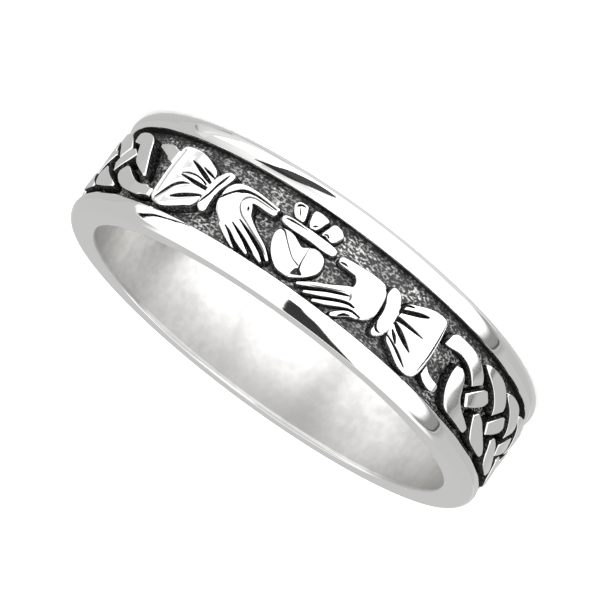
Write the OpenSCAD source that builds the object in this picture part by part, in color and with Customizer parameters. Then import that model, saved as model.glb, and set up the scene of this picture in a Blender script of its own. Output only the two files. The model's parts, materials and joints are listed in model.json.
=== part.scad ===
// Claddagh ring in cast silver, lying on its side: +Z is the axis of the finger hole.
// The heart faces -Y with its point up, and z = 0 is the rim on the crown's side.
// The relief is drawn unrolled: p runs round the ring to the right of the heart,
// q runs across it towards the crown, and h stands out from the channel's floor.

/* [Band] */
// Diameter of the finger hole
bore_d = 19; // [16:0.5:22]
// Thickness from the hole to the top of the rails
wall = 1.5; // [1.3:0.05:2]
// Width of the band along its axis
band_w = 5.5; // [4.8:0.1:7]
// Radius that eases the edge of the hole
bore_edge_r = 0.25; // [0.1:0.05:0.4]

/* [Rails] */
// Width of each rail
rail_w = 0.95; // [0.8:0.05:1.05]
// Radius of the rail's domed top
rail_r = 0.62; // [0.62:0.02:0.8]

/* [Channel] */
// Depth of the channel below the top of the rails
channel_depth = 0.55; // [0.4:0.05:0.7]

/* [Relief] */
// How far the relief stands above the top of the rails
relief_proud = 0.06; // [0:0.02:0.15]
// Width of the heart
heart_w = 2.55; // [2.2:0.05:2.9]
// Width of the crown
crown_w = 2.62; // [2.2:0.02:3]
// Length of a hand from its fingertips to its wrist
hand_l = 3.45; // [3:0.05:4]
// Width of a wristband
strap_w = 0.5; // [0.4:0.02:0.6]
// Length of ring that a wristband takes up
strap_l = 0.95; // [0.9:0.05:1.2]
// Length of a cuff from its gathers to its hem
cuff_l = 2.2; // [1.8:0.1:2.6]
// Depth of the folds in a cuff
fold_depth = 0.28; // [0.1:0.02:0.36]
// Length of one repeat of the plait, rounded to close round the ring
plait_repeat = 2.5; // [2.2:0.1:3]

/* [Hidden] */
$fn = 192;

bore_r = bore_d / 2;
crest_r = bore_r + wall;
floor_r = crest_r - channel_depth;
half_channel = band_w / 2 - rail_w;
relief_h = channel_depth + relief_proud;
// The relief's roots reach this far below the floor
root = 0.18;
// Place of the rail's crest, as a share of its width from the rim
crest_at = 0.58;

// Fingertips start this share of the heart's width from its middle
hand_start = 0.31 * heart_w;
hand_end = hand_start + hand_l;
cuff_start = hand_end + strap_l;
cuff_end = cuff_start + cuff_l;

// The plait closes in whole repeats, with one lead-in repeat after the right cuff
// and this share of a repeat before the left cuff
lead_out = 0.8;
plait_l = 2 * PI * crest_r - 2 * cuff_end;
repeats = max(4, round(plait_l / plait_repeat - 1 - lead_out));
pitch = plait_l / (repeats + 1 + lead_out);

// Cross-section of a raised strand: share across it, share of its height; -1 is the root.
// The two ends of each strand lie a little askew, never straight across the ring.
STRAND = [[1, -1], [0, -1], [0, 0.66], [0.2, 0.9], [0.5, 1], [0.8, 0.9], [1, 0.66]];

// Steps of a dome from its root to its top: share of the outline, share of its height
DOME = [[1, -1], [1, 0.62], [0.88, 0.86], [0.62, 0.97]];

// Heart: share of half its width, share of the half channel, height
HEART = [
    [-0.12, -0.03, 0.86], [-0.36, 0.05, 0.96], [-0.6, 0.08, 1], [-0.84, 0.05, 1],
    [-0.98, -0.06, 1], [-0.96, -0.24, 1], [-0.82, -0.46, 1], [-0.6, -0.65, 1],
    [-0.36, -0.77, 0.97], [-0.12, -0.85, 0.94], [0.16, -0.86, 0.94], [0.38, -0.82, 0.97],
    [0.6, -0.74, 1], [0.8, -0.61, 1], [0.95, -0.45, 1], [1, -0.28, 1], [0.97, -0.1, 1],
    [0.82, 0.02, 1], [0.55, 0.06, 1], [0.28, 0.01, 0.95], [0.08, -0.08, 0.82]
];

// Base bar of the crown: edge towards the prongs, edge towards the heart, height
CROWN_BAR = [
    [-1, 0.28, -0.98, 0.21, 0.7], [-0.92, 0.35, -0.93, 0.15, 0.95], [-0.3, 0.355, -0.3, 0.15, 1],
    [0.4, 0.345, 0.4, 0.145, 1], [0.92, 0.335, 0.93, 0.13, 0.95], [1, 0.27, 0.98, 0.19, 0.7]
];

// Prongs of the crown: share of half the crown's width, share of the half channel, height
OUTER_PRONG = [
    [0.36, 0.45, 0.9], [0.52, 0.44, 0.9], [0.7, 0.45, 0.9], [0.88, 0.59, 1], [0.92, 0.69, 1],
    [0.8, 0.79, 0.9], [0.57, 0.79, 0.9], [0.47, 0.7, 1]
];
MIDDLE_PRONG = [
    [-0.12, 0.45, 0.9], [0.13, 0.45, 0.9], [0.21, 0.6, 1], [0.26, 0.79, 0.9],
    [0, 0.82, 0.9], [-0.24, 0.79, 0.9], [-0.21, 0.6, 1]
];

// Palm of the right hand: share of the hand's length from the fingertips,
// share of the half channel, height
PALM = [
    [1, -0.25, 0.9], [0.97, 0.06, 0.95], [0.91, 0.25, 0.95], [0.78, 0.36, 1], [0.67, 0.28, 1],
    [0.58, 0.08, 0.95], [0.56, -0.14, 0.95], [0.52, -0.33, 0.9], [0.58, -0.56, 0.9],
    [0.7, -0.67, 0.9], [0.84, -0.61, 0.9], [0.96, -0.47, 0.9]
];

// Thumb from the wrist to its tip: edge towards the fingers, edge towards the crown, height
THUMB = [
    [0.96, 0.08, 0.93, 0.31, 0.9], [0.81, 0.1, 0.81, 0.42, 1], [0.66, 0.13, 0.64, 0.43, 1],
    [0.52, 0.155, 0.49, 0.4, 0.98], [0.38, 0.145, 0.38, 0.36, 0.95],
    [0.275, 0.13, 0.275, 0.31, 0.9], [0.24, 0.17, 0.25, 0.27, 0.7]
];

// Fingers from the palm to their tips: share of the hand's length, share of the
// half channel, half width as a share of the half channel, height
FINGERS = [
    [[0.6, -0.22, 0.09, 0.9], [0.34, -0.46, 0.085, 0.95], [0.15, -0.63, 0.07, 0.85], [0.02, -0.79, 0.035, 0.6]],
    [[0.64, -0.41, 0.075, 0.9], [0.37, -0.63, 0.07, 0.9], [0.18, -0.8, 0.055, 0.75], [0.1, -0.87, 0.03, 0.55]],
    [[0.68, -0.55, 0.07, 0.85], [0.46, -0.76, 0.06, 0.85], [0.31, -0.885, 0.03, 0.6]],
    [[0.76, -0.63, 0.065, 0.8], [0.6, -0.8, 0.055, 0.8], [0.48, -0.905, 0.025, 0.55]]
];

// Wristband from the crown's side down: share of its length of ring, share of the
// half channel, share of half its width, height
STRAP = [
    [0.14, 0.5, 0.62, 0.75], [0.27, 0.4, 0.95, 0.95], [0.41, 0.2, 1, 1], [0.52, -0.05, 1, 1],
    [0.53, -0.31, 1, 1], [0.48, -0.5, 0.9, 0.95], [0.43, -0.58, 0.6, 0.75]
];

// Cuff from its gathers to its hem: share of its length, edge towards the crown and
// edge away from it as shares of the half channel, depth of the folds, height
CUFF = [
    [0, 0.42, -0.58, 0.8, 0.72], [0.08, 0.47, -0.64, 1, 0.9], [0.22, 0.56, -0.73, 1, 1],
    [0.38, 0.64, -0.82, 0.7, 1], [0.55, 0.685, -0.875, 0.25, 1], [0.68, 0.69, -0.885, 0, 1],
    [0.9, 0.68, -0.87, 0, 0.97], [1, 0.62, -0.8, 0, 0.78]
];
// Middles of the folds across the cuff, and half a fold's width there
FOLDS = [0.2, 0.44, 0.67, 0.87];
FOLD_HALF = 0.045;
// How far the hem bows out at its middle, as a share of the cuff's length
HEM_BOW = 0.06;

// Strands of the plait, from left to right: edge towards the crown, edge away from it,
// height. Lengths are shares of a repeat from the cell's start, then of the half channel.
UPPER_LOBE = [
    [0.1, 0.7, 0.13, 0.64, 0.6], [0.22, 0.755, 0.25, 0.57, 0.85], [0.47, 0.775, 0.41, 0.5, 1],
    [0.75, 0.74, 0.61, 0.4, 1], [1, 0.61, 0.8, 0.265, 1], [1.2, 0.45, 0.94, 0.13, 0.95],
    [1.3, 0.31, 1.05, 0, 0.75]
];
BAR = [
    [0.07, -0.18, 0.24, -0.42, 0.78], [0.21, 0.02, 0.46, -0.23, 1], [0.38, 0.22, 0.62, -0.06, 1],
    [0.51, 0.28, 0.71, 0.13, 0.78]
];
LOWER_LOBE = [
    [0.68, -0.22, 0.57, -0.36, 0.75], [0.85, -0.29, 0.62, -0.5, 0.95], [1.03, -0.41, 0.75, -0.69, 1],
    [1.23, -0.53, 0.92, -0.84, 1], [1.43, -0.64, 1.19, -0.88, 1], [1.58, -0.72, 1.47, -0.87, 0.85],
    [1.65, -0.78, 1.63, -0.83, 0.6]
];
// Strands that come out from the right cuff into the plait
FIRST_UPPER = [
    [0.12, 0.6, 0.08, 0.38, 0.75], [0.2, 0.67, 0.18, 0.33, 0.95], [0.5, 0.695, 0.46, 0.38, 1],
    [0.74, 0.67, 0.66, 0.34, 1], [0.98, 0.56, 0.82, 0.26, 1], [1.19, 0.4, 0.98, 0.13, 0.95],
    [1.28, 0.27, 1.08, 0.04, 0.75]
];
FIRST_LOWER = [
    [0.66, 0.18, 0.53, 0.14, 0.75], [0.8, 0.07, 0.51, -0.08, 0.95], [0.9, -0.14, 0.56, -0.39, 1],
    [1.02, -0.38, 0.7, -0.67, 1], [1.19, -0.53, 0.88, -0.83, 1], [1.43, -0.63, 1.27, -0.86, 0.95],
    [1.61, -0.7, 1.57, -0.87, 0.8], [1.65, -0.77, 1.64, -0.82, 0.6]
];
FIRST_STUB = [
    [0.09, -0.42, 0.05, -0.64, 0.6], [0.22, -0.52, 0.18, -0.72, 0.75], [0.38, -0.57, 0.34, -0.77, 0.7],
    [0.45, -0.64, 0.43, -0.73, 0.5]
];
// Strands that go from the plait under the left cuff
LAST_UPPER = [
    [0.15, 0.68, 0.155, 0.58, 0.6], [0.275, 0.74, 0.275, 0.47, 0.85], [0.52, 0.755, 0.435, 0.43, 1],
    [0.76, 0.71, 0.6, 0.38, 1], [0.96, 0.56, 0.74, 0.14, 1], [1.12, 0.25, 0.88, -0.07, 1],
    [1.26, -0.03, 1.06, -0.21, 0.9], [1.39, -0.34, 1.35, -0.38, 0.6]
];
LAST_LOWER = [
    [0.66, -0.23, 0.52, -0.38, 0.75], [0.8, -0.25, 0.6, -0.54, 0.95], [1.04, -0.42, 0.8, -0.71, 1],
    [1.28, -0.56, 1.08, -0.84, 1], [1.48, -0.6, 1.36, -0.88, 0.95], [1.64, -0.57, 1.54, -0.89, 0.85],
    [1.74, -0.61, 1.68, -0.85, 0.6]
];
LAST_STUB = [
    [1.23, 0.54, 1.25, 0.47, 0.5], [1.46, 0.6, 1.43, 0.38, 0.75], [1.62, 0.6, 1.6, 0.29, 0.75],
    [1.75, 0.54, 1.71, 0.2, 0.6]
];

// Wraps a point of the unrolled relief onto the channel's floor
function wrap(p, q, h) =
    let (turn = -90 - p / crest_r * 180 / PI, r = floor_r + h)
    [r * cos(turn), r * sin(turn), band_w / 2 - q];

// Height of a share of the relief: below the floor where it is a root
function lift(share, height) = share < 0 ? -root : share * height * relief_h;

function mean(points) = [for (axis = [0 : 2]) sum([for (point = points) point[axis]]) / len(points)];
function sum(values, i = 0) = i >= len(values) ? 0 : values[i] + sum(values, i + 1);

// One cross-section between the points a and b of the unrolled relief
function rib(a, b, height, section) =
    [for (s = section) let (at = a + (b - a) * s[0]) wrap(at[0], at[1], lift(s[1], height))];

// Edges of a row that gives both: scales its lengths and moves it along the ring
function edges(row, start, scale_p) = [
    [start + row[0] * scale_p, row[1] * half_channel],
    [start + row[2] * scale_p, row[3] * half_channel],
    row[4]
];

// Direction of a path of points at its i-th point
function heading(path, i) =
    let (step = path[min(i + 1, len(path) - 1)] - path[max(i - 1, 0)])
    step / norm(step);

// Edges of a strand that is given by its middle line [p, q], half widths and heights
function sides(path, halves, heights) = [
    for (i = [0 : len(path) - 1])
    let (way = heading(path, i), left = [-way[1], way[0]] * halves[i])
    [path[i] + left, path[i] - left, heights[i]]
];

// Closed solid through rings of equally many points, with a fan over each end
module skin(rings, first, last) {
    n = len(rings[0]);
    m = len(rings);
    points = concat([for (ring = rings) each ring], [first, last]);
    walls = [
        for (j = [0 : m - 2], i = [0 : n - 1])
        let (k = (i + 1) % n, low = j * n, high = (j + 1) * n)
        each [[low + i, high + i, high + k], [low + i, high + k, low + k]]
    ];
    ends = [
        for (i = [0 : n - 1])
        let (k = (i + 1) % n, top = (m - 1) * n)
        each [[m * n, i, k], [m * n + 1, top + k, top + i]]
    ];
    polyhedron(points = points, faces = concat(walls, ends));
}

// Raised strand between two edges
module strand(rows, section = STRAND) {
    ribs = [for (row = rows) rib(row[0], row[1], row[2], section)];
    skin(ribs, mean(ribs[0]), mean(ribs[len(ribs) - 1]));
}

// Raised pad with a domed top over an outline of [p, q, height]
module pad(outline) {
    mid = [sum([for (o = outline) o[0]]), sum([for (o = outline) o[1]])] / len(outline);
    rings = [
        for (step = DOME)
        [
            for (o = outline)
            let (at = mid + ([o[0], o[1]] - mid) * step[0])
            wrap(at[0], at[1], lift(step[1], o[2] + (1 - o[2]) * (1 - step[0])))
        ]
    ];
    skin(rings, wrap(mid[0], mid[1], -root), wrap(mid[0], mid[1], relief_h));
}

// Half section of the hoop below the channel, with eased edges at the hole
module hoop_section() {
    difference() {
        translate([bore_r, 0])
            square([floor_r - bore_r, band_w]);
        for (end = [0, 1])
            translate([0, end * band_w])
                mirror([0, end])
                    difference() {
                        translate([bore_r - 1, -1])
                            square([1 + bore_edge_r, 1 + bore_edge_r]);
                        translate([bore_r + bore_edge_r, bore_edge_r])
                            circle(r = bore_edge_r);
                    }
    }
}

// Section of one rail: a flat rim, a domed top and an upright wall on the channel
module rail_section() {
    intersection() {
        translate([crest_r - rail_r, rail_w * crest_at])
            circle(r = rail_r);
        translate([floor_r - root, 0])
            square([crest_r - floor_r + root, rail_w]);
    }
}

module band() {
    rotate_extrude() {
        hoop_section();
        rail_section();
        translate([0, band_w])
            mirror([0, 1])
                rail_section();
    }
}

module heart() {
    pad([for (o = HEART) [o[0] * heart_w / 2, o[1] * half_channel, o[2]]]);
}

module crown() {
    half_w = crown_w / 2;
    strand([for (row = CROWN_BAR) edges(row, 0, half_w)]);
    pad([for (o = MIDDLE_PRONG) [o[0] * half_w, o[1] * half_channel, o[2]]]);
    for (side = [0, 1])
        mirror([side, 0, 0])
            pad([for (o = OUTER_PRONG) [o[0] * half_w, o[1] * half_channel, o[2]]]);
}

module hand() {
    pad([for (o = PALM) [hand_start + o[0] * hand_l, o[1] * half_channel, o[2]]]);
    strand([for (row = THUMB) edges(row, hand_start, hand_l)]);
    for (finger = FINGERS)
        strand(sides(
            [for (f = finger) [hand_start + f[0] * hand_l, f[1] * half_channel]],
            [for (f = finger) f[2] * half_channel],
            [for (f = finger) f[3]]
        ));
}

module wristband() {
    strand(sides(
        [for (s = STRAP) [hand_end + s[0] * strap_l, s[1] * half_channel]],
        [for (s = STRAP) s[2] * strap_w / 2],
        [for (s = STRAP) s[3]]
    ));
}

// Share of a cuff's height at the share t across it, where its folds are cut in
function fold_height(t, depth) =
    let (near = min([for (f = FOLDS) abs(t - f)]))
    near < FOLD_HALF / 2 ? 1 - depth * fold_depth / relief_h : 1;

// Cross-section of a cuff: its root, its shoulders and a dip at each fold
function cuff_section(depth) = concat(
    [[1, -1], [0, -1], [0, 0.66], [0.04, 0.95]],
    [
        for (f = FOLDS)
        each [for (t = [f - FOLD_HALF, f, f + FOLD_HALF]) [t, fold_height(t, depth)]]
    ],
    [[0.97, 0.95], [1, 0.66]]
);

module cuff() {
    ribs = [
        for (row = CUFF)
        let (p = cuff_start + row[0] * cuff_l)
        [
            for (s = cuff_section(row[3]))
            let (bow = HEM_BOW * cuff_l * row[0] * (1 - pow(2 * s[0] - 1, 2)))
            wrap(
                p + bow - HEM_BOW * cuff_l * row[0],
                (row[1] + (row[2] - row[1]) * s[0]) * half_channel,
                lift(s[1], row[4])
            )
        ]
    ];
    skin(ribs, mean(ribs[0]), mean(ribs[len(ribs) - 1]));
}

// A strand of the plait in the given cell; cell -1 leads in from the right cuff
module plait_strand(rows, cell) {
    start = cuff_end + (cell + 1) * pitch;
    strand([for (row = rows) edges(row, start, pitch)]);
}

module plait() {
    for (cell = [0 : repeats - 1])
        plait_strand(BAR, cell);
    for (cell = [0 : repeats - 2]) {
        plait_strand(UPPER_LOBE, cell);
        plait_strand(LOWER_LOBE, cell);
    }
    for (rows = [FIRST_UPPER, FIRST_LOWER, FIRST_STUB])
        plait_strand(rows, -1);
    for (rows = [LAST_UPPER, LAST_LOWER, LAST_STUB])
        plait_strand(rows, repeats - 1);
}

module ring() {
    color("silver")
        union() {
            band();
            heart();
            crown();
            for (side = [0, 1])
                mirror([side, 0, 0]) {
                    hand();
                    wristband();
                    cuff();
                }
            plait();
        }
}

ring();
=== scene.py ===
import json

import bpy
import numpy as np
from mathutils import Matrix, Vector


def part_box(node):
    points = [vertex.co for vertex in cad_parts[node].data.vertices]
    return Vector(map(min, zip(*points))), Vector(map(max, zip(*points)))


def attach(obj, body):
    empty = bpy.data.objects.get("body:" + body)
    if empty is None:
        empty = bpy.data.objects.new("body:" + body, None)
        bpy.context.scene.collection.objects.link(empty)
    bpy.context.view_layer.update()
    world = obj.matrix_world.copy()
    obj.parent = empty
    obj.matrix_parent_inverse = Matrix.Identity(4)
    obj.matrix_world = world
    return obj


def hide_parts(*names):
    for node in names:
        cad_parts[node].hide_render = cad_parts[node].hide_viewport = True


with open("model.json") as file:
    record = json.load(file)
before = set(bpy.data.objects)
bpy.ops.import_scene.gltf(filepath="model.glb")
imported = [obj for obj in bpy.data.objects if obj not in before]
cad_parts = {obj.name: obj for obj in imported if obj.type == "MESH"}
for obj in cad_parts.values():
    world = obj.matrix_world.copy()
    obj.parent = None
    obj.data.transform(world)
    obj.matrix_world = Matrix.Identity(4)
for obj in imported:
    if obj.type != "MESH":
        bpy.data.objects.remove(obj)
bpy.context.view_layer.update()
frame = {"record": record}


# The band: one hoop of sterling silver with the finger hole, eased edges, two flat rims and the
# sunk channel that the relief stands in. It is cast with everything on it, turned and buffed
# inside, and darkened in the channel. Lengths are millimetres, and meshes are written in metres.
MM = 0.001
low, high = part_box("ring")
bore_r = frame["record"]["mounts"][0]["dims"]["r_mm"]
band_w = (high.z - low.z) / MM
wall = 1.5
rail_w = 0.95
channel_depth = 0.55
bore_edge_r = 0.25
edge_steps = 12
turn_steps = 720
crease_angle = np.radians(35)
crest_r = bore_r + wall
floor_r = crest_r - channel_depth
half_channel = band_w / 2 - rail_w
root_depth = 0.1


def arc(radius, height, bend, start, end, steps):
    """Points (radius, height) of an arc round a middle point: middle + bend (cos t, sin t), for t in
    equal steps from start to end degrees."""
    t = np.radians(np.linspace(start, end, steps))
    return np.stack([radius + bend * np.cos(t), height + bend * np.sin(t)], -1)


def quads(rows, columns, round_rows=False, round_columns=False):
    """Four corners for each cell of a grid, whose normal is rows' direction x columns' direction. The
    last row or column joins the first where the grid goes all the way round."""
    index = np.arange(rows * columns).reshape(rows, columns)
    if round_rows:
        index = np.concatenate([index, index[:1]])
    if round_columns:
        index = np.concatenate([index, index[:, :1]], axis=1)
    corners = index[:-1, :-1], index[1:, :-1], index[1:, 1:], index[:-1, 1:]
    return np.stack(corners, -1).reshape(-1, 4)


def mark_points(mesh, mark, values):
    """Stores a number at each point of a mesh, under a name that its material reads."""
    layer = mesh.attributes.new(mark, "FLOAT", "POINT")
    layer.data.foreach_set("value", np.ravel(values).astype(np.float32))


def put_in_scene(name, data):
    """An object of this name that shows a mesh, lamp or camera, at the origin."""
    made = bpy.data.objects.new(name, data)
    bpy.context.scene.collection.objects.link(made)
    return made


def silver_piece(name, points, faces, materials, **marks):
    """A smooth mesh that rides on the ring and stands for its solid, with its marked numbers."""
    mesh = bpy.data.meshes.new(name)
    mesh.from_pydata(points.reshape(-1, 3), [], faces)
    mesh.shade_smooth()
    for mark, values in marks.items():
        mark_points(mesh, mark, values)
    for material in materials:
        mesh.materials.append(material)
    piece = put_in_scene(name, mesh)
    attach(piece, "root")
    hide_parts("ring")
    return piece


def turned_piece(name, outline, surface, materials):
    """An outline (radius, height) turned round the ring's axis: at each angle a of a full turn, x is
    radius cos a, y is radius sin a and z is height. Rows follow a, columns follow the outline, and
    surface numbers the material on each side of the outline, from its point to the next."""
    a = np.arange(turn_steps)[:, None] * 2 * np.pi / turn_steps
    radius, height = outline.T
    points = np.stack(np.broadcast_arrays(radius * np.cos(a), radius * np.sin(a), height), -1) * MM
    faces = quads(*points.shape[:2], round_rows=True, round_columns=True)
    piece = silver_piece(name, points, faces, materials)
    piece.data.polygons.foreach_set("material_index", np.tile(surface, turn_steps))
    piece.data.set_sharp_from_angle(angle=crease_angle)
    return piece


def node_group(name, inputs, outputs):
    """An empty shader node group with named sockets, and its input and output nodes."""
    group = bpy.data.node_groups.new(name, "ShaderNodeTree")
    for socket, kind, value in inputs:
        made = group.interface.new_socket(socket, in_out="INPUT", socket_type="NodeSocket" + kind)
        made.default_value = value
    for socket, kind in outputs:
        group.interface.new_socket(socket, in_out="OUTPUT", socket_type="NodeSocket" + kind)
    return group, group.nodes.new("NodeGroupInput"), group.nodes.new("NodeGroupOutput")


def feed(tree, socket, value):
    """Gives an input its value: a link from another node's output, or a constant."""
    if isinstance(value, bpy.types.NodeSocket):
        tree.links.new(value, socket)
    else:
        socket.default_value = value


def set_inputs(tree, node, **values):
    """Feeds a node's named inputs, whose names have spaces where the keywords have _."""
    for name, value in values.items():
        feed(tree, node.inputs[name.replace("_", " ")], value)


def add_node(tree, kind, *values, **settings):
    """A new node with these settings, whose inputs are fed in order. Returns its first output."""
    node = tree.nodes.new("ShaderNode" + kind)
    for setting, choice in settings.items():
        setattr(node, setting, choice)
    for socket, value in zip(node.inputs, values):
        feed(tree, socket, value)
    return node.outputs[0]


def math_node(tree, operation, *values):
    """The result of a Math node on numbers or other sockets."""
    return add_node(tree, "Math", *values, operation=operation)


def ramp_node(tree, value, start, end, low_value=0.0, high_value=1.0):
    """A number that eases from low_value to high_value as value goes from start to end."""
    ends = (start, end, low_value, high_value)
    return add_node(tree, "MapRange", value, *ends, interpolation_type="SMOOTHSTEP")


def mix_colours(tree, share, first, second):
    """A colour that goes from first to second as share goes from 0 to 1."""
    node = tree.nodes.new("ShaderNodeMix")
    node.data_type = "RGBA"
    feed(tree, node.inputs["Factor"], share)
    feed(tree, node.inputs[6], first)
    feed(tree, node.inputs[7], second)
    return node.outputs[2]


def noise_node(tree, scale, detail, stretch=(1, 1, 1)):
    """Noise over the piece at this many lumps to a millimetre, stretched along each axis."""
    place = tree.nodes.new("ShaderNodeTexCoord")
    mapping = tree.nodes.new("ShaderNodeMapping")
    set_inputs(tree, mapping, Vector=place.outputs["Object"], Scale=[s / MM for s in stretch])
    noise = tree.nodes.new("ShaderNodeTexNoise")
    set_inputs(tree, noise, Vector=mapping.outputs["Vector"], Scale=scale, Detail=detail)
    return noise.outputs["Fac"]


def hand_finish_group():
    """What buffing leaves on silver: a slow waviness and fine hair scratches, as a height in
    micrometres, and a roughness that rises a little in patches."""
    group, given, out = node_group(
        "hand_finish",
        [("Waviness", "Float", 1.0), ("Scratches", "Float", 1.0), ("Roughness", "Float", 0.1)],
        [("Height", "Float"), ("Roughness", "Float")],
    )
    waves = noise_node(group, 0.7, 1.0)
    hairs = noise_node(group, 9.0, 3.0, stretch=(1, 1, 0.2))
    patches = ramp_node(group, noise_node(group, 1.6, 4.0), 0.3, 0.7, 0.8, 1.3)
    waves = math_node(group, "MULTIPLY", waves, given.outputs["Waviness"])
    hairs = math_node(group, "MULTIPLY", hairs, given.outputs["Scratches"])
    rough = math_node(group, "MULTIPLY", given.outputs["Roughness"], patches)
    set_inputs(group, out, Height=math_node(group, "ADD", waves, hairs), Roughness=rough)
    return group


SILVER = (0.93, 0.925, 0.915, 1)
BLACKENED = (0.06, 0.06, 0.06, 1)
HAND_FINISH = hand_finish_group()


def metal(name):
    """A plain metal material and its Principled node, without colour or finish yet."""
    material = bpy.data.materials.new(name)
    material.use_nodes = True
    shader = material.node_tree.nodes["Principled BSDF"]
    shader.inputs["Metallic"].default_value = 1.0
    return material, material.node_tree, shader


def use_group(tree, group, **values):
    """Places a node group and feeds its inputs."""
    node = tree.nodes.new("ShaderNodeGroup")
    node.node_tree = group
    set_inputs(tree, node, **values)
    return node


def bump(tree, shader, height, micrometres):
    """Feeds a height to the shader's normal, where 1 stands for that many micrometres."""
    node = tree.nodes.new("ShaderNodeBump")
    set_inputs(tree, node, Strength=1.0, Distance=micrometres * 1e-6, Height=height)
    set_inputs(tree, shader, Normal=node.outputs["Normal"])


def polished_silver(name, waviness, scratches, roughness, colour=SILVER):
    """Silver off the buffing wheel: bright, with a slow waviness and hair scratches."""
    material, tree, shader = metal(name)
    finish = use_group(tree, HAND_FINISH, Waviness=waviness, Scratches=scratches, Roughness=roughness)
    set_inputs(tree, shader, Base_Color=colour, Roughness=finish.outputs["Roughness"])
    bump(tree, shader, finish.outputs["Height"], 1.0)
    return material


def channel_silver():
    """The channel's ground: the rounded pits of a cast skin, blackened, with the tops of the grain
    worn to a dull grey in patches. Along the crown's rail it is painted blacker, with fewer grey
    tops, as painted shade under that rail's wall."""
    material, tree, shader = metal("blackened_ground")
    grain = noise_node(tree, 8.0, 3.0, stretch=(0.8, 0.8, 1.4))
    tops = ramp_node(tree, grain, 0.45, 0.7)
    patches = ramp_node(tree, noise_node(tree, 0.8, 2.0), 0.38, 0.65, 0.4, 1.1)
    flecks = math_node(tree, "MULTIPLY", math_node(tree, "MULTIPLY", tops, patches), 0.9)
    place = tree.nodes.new("ShaderNodeTexCoord")
    axes = tree.nodes.new("ShaderNodeSeparateXYZ")
    tree.links.new(place.outputs["Object"], axes.inputs["Vector"])
    # Painted shade along the crown's rail: up to the first height the ground is painted full black with few
    # grey flecks, easing to its blackened grey by the second.
    black_to, shade_ends_at = (rail_w + 0.08) * MM, (rail_w + 0.28) * MM
    rubbed_and_unshaded = ramp_node(tree, axes.outputs["Z"], black_to, shade_ends_at)
    flecks = math_node(tree, "MULTIPLY", flecks, ramp_node(tree, rubbed_and_unshaded, 0, 1, 0.3, 1.0))
    black = mix_colours(tree, rubbed_and_unshaded, (0.025, 0.025, 0.025, 1), (0.055, 0.055, 0.055, 1))
    colour = mix_colours(tree, flecks, black, (0.9, 0.9, 0.89, 1))
    set_inputs(tree, shader, Base_Color=colour, Metallic=0.7, Roughness=0.45)
    bump(tree, shader, grain, 60.0)
    return material


def satin_silver():
    """The finger hole's satin: silver rubbed round the hole with a fine paper, with soft cloudy
    patches that are a little darker and rougher."""
    material, tree, shader = metal("satin_hole")
    clouds = ramp_node(tree, noise_node(tree, 0.45, 1.0, stretch=(1, 1, 0.5)), 0.35, 0.75)
    streaks = ramp_node(tree, noise_node(tree, 1.0, 1.0, stretch=(0.2, 0.2, 2)), 0.3, 0.7)
    mottle = ramp_node(tree, noise_node(tree, 2.5, 3.0), 0.3, 0.7)
    fine = math_node(tree, "MULTIPLY_ADD", mottle, 0.4, math_node(tree, "MULTIPLY", streaks, 0.12))
    shade = math_node(tree, "MULTIPLY_ADD", clouds, 0.7, fine)
    colour = mix_colours(tree, shade, (0.73, 0.726, 0.717, 1), (0.55, 0.546, 0.536, 1))
    set_inputs(tree, shader, Base_Color=colour, Roughness=ramp_node(tree, shade, 0.0, 1.1, 0.29, 0.35))
    finish = use_group(tree, HAND_FINISH, Waviness=4.0, Scratches=0.04)
    bump(tree, shader, finish.outputs["Height"], 1.0)
    return material


rim_silver = polished_silver("buffed_rim", 6.0, 0.25, 0.1)
hole_silver = satin_silver()
ground_silver = channel_silver()
band_outline = np.concatenate([
    arc(bore_r + bore_edge_r, bore_edge_r, bore_edge_r, 180, 270, edge_steps),
    [[floor_r, 0], [floor_r, band_w]],
    arc(bore_r + bore_edge_r, band_w - bore_edge_r, bore_edge_r, 90, 180, edge_steps),
])
surface = np.zeros(len(band_outline), int)
surface[:edge_steps // 2] = 1
surface[-edge_steps // 2:] = 1
surface[edge_steps] = 2
band = turned_piece("band", band_outline, surface, [rim_silver, hole_silver, ground_silver])


# The rails: two domed silver rails along the rims, with an upright wall on the channel's side that
# stays dark. They are cast in one with the band, filed and buffed to a mirror.
rail_r = 0.62
crest_at = 0.58 * rail_w
rail_edge_r = 0.14
dome_steps = 28
rail_edge_steps = 8


def rail_outline():
    """Outline (radius, height) of the lower rail: its flat foot, the dome's arc about its middle
    from the rim to the channel, a small arc that meets it smoothly, and the upright wall."""
    middle = crest_r - rail_r
    start = -np.degrees(np.arcsin(crest_at / rail_r))
    end = np.degrees(np.arcsin((rail_w - rail_edge_r - crest_at) / (rail_r - rail_edge_r)))
    dome = arc(middle, crest_at, rail_r, start, end, dome_steps)
    edge_middle = middle + (rail_r - rail_edge_r) * np.cos(np.radians(end))
    edge = arc(edge_middle, rail_w - rail_edge_r, rail_edge_r, end, 90, rail_edge_steps)
    return np.concatenate([[[floor_r, 0]], dome, edge[1:], [[floor_r, rail_w]]])


rail_silver = polished_silver("mirror_rail", 5.0, 0.12, 0.055)
dark_silver = polished_silver("blackened_wall", 6.0, 1.0, 0.45, BLACKENED)
lower_outline = rail_outline()
upper_outline = (lower_outline * (1, -1) + (0, band_w))[::-1]
rails = {}
for name, outline, rim, inner_wall in (
    ("crown_rail", lower_outline, 0, -2), ("point_rail", upper_outline, -2, 0),
):
    surface = np.zeros(len(outline), int)
    surface[rim] = 1
    surface[inner_wall] = 2
    rails[name] = turned_piece(name, outline, surface, [rail_silver, rim_silver, dark_silver])


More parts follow.
